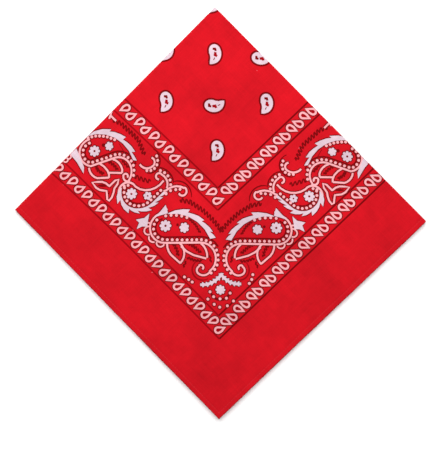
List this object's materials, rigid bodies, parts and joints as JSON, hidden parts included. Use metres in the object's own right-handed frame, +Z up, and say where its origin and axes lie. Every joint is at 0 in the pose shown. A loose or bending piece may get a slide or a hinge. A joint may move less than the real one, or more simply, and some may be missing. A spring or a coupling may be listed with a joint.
{
  "type": "folded bandana",
  "caption": "Printed cotton bandana, folded in half twice into a quarter square and lying flat.",
  "frame": {"origin": "on the surface that the bandana lies on, under the middle of its box", "axes": "+Z up, out of the printed face; the folded square stands on its free corner, which points to -Y, with the four-layer fold at the upper left (-X, +Y) and the two short folds at the upper right (+X, +Y)"},
  "size_m": [0.3884, 0.3894, 0.0065],
  "materials": {
    "printed_cotton": "red plain-weave cotton with a paisley print in white and a dark ink",
    "hidden_cotton": "the same red cotton, inside the folds",
    "hem_cotton": "turned and stitched red cotton"
  },
  "bodies": {
    "root": {"outer_half": "printed_cotton", "inner_half": "hidden_cotton", "hem_outer": "hem_cotton", "hem_inner": "hem_cotton", "hem_upper": "hem_cotton", "hem_lower": "hem_cotton"}
  },
  "joints": []
}
